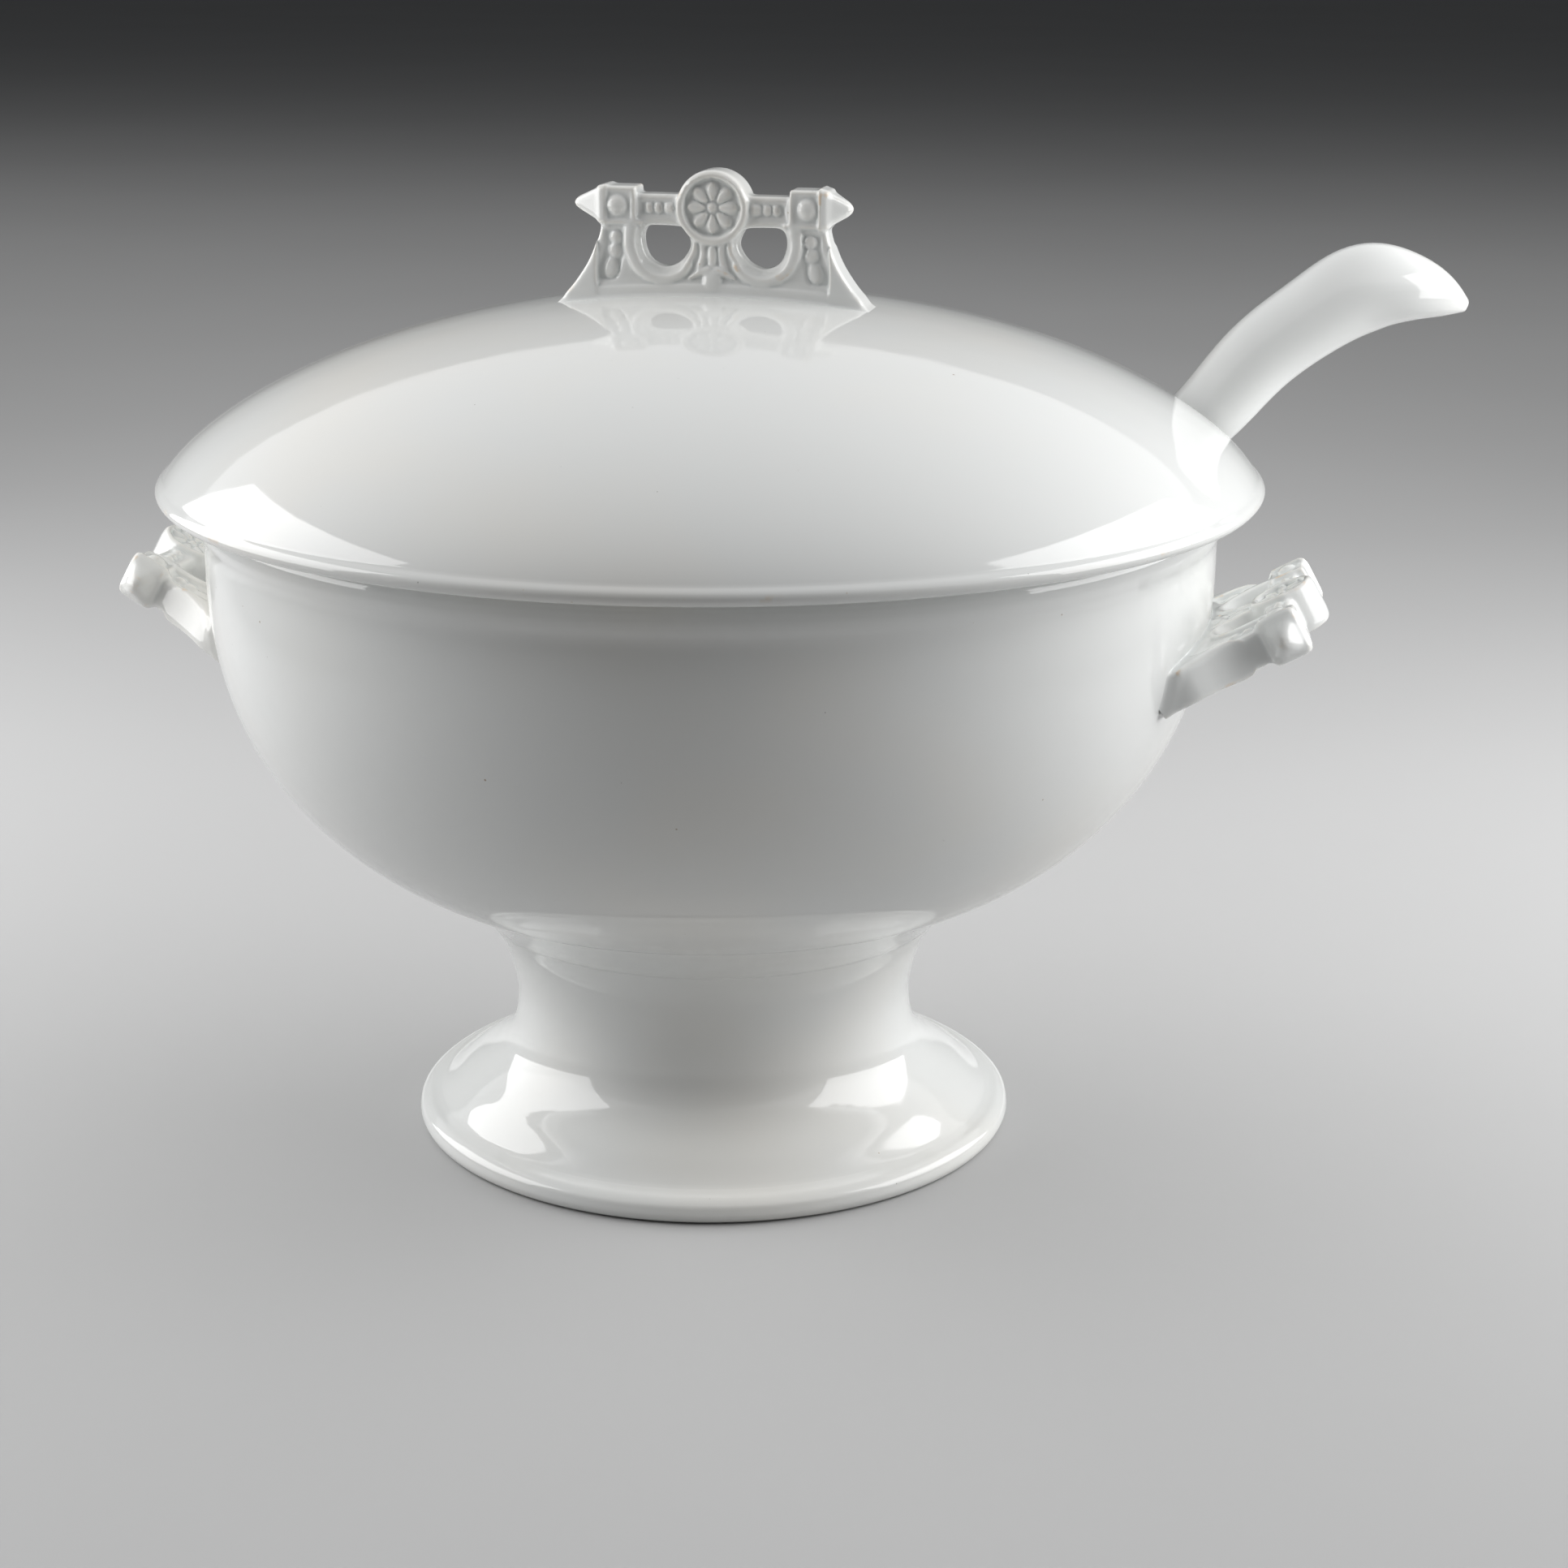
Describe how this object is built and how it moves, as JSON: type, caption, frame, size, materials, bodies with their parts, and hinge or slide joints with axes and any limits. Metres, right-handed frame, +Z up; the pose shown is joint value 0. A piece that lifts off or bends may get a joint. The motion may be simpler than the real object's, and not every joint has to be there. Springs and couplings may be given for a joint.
{
  "type": "covered soup tureen with ladle",
  "caption": "Round white glazed soup tureen on a pedestal foot, with pierced scroll handles, a domed lid with a matching finial, and a hooked ladle resting in a notch of the lid.",
  "frame": {"origin": "centre of the ring under the pedestal, in the plane of the table", "axes": "+Z up through the finial, +X through the right handle, +Y to the back; the ladle leans out between +X and +Y"},
  "size_m": [0.3417, 0.28, 0.2505],
  "materials": {
    "white_glaze": "gloss"
  },
  "bodies": {
    "tureen": {"bowl": "white_glaze", "pedestal_foot": "white_glaze", "handle_left": "white_glaze", "handle_right": "white_glaze"},
    "lid": {"lid": "white_glaze", "lid_finial": "white_glaze"},
    "ladle": {"ladle_bowl": "white_glaze", "ladle_handle": "white_glaze"}
  },
  "joints": [
    {"name": "lid_lift", "type": "slide", "parent": "tureen", "child": "lid", "axis": [0, 0, 1], "range_m": [0, 0.15]},
    {"name": "ladle_tilt", "type": "hinge", "parent": "tureen", "child": "ladle", "pos_m": [0.11864, 0.04318, 0.16725], "axis": [-0.342, 0.9397, 0], "range_deg": [0, 24]}
  ]
}
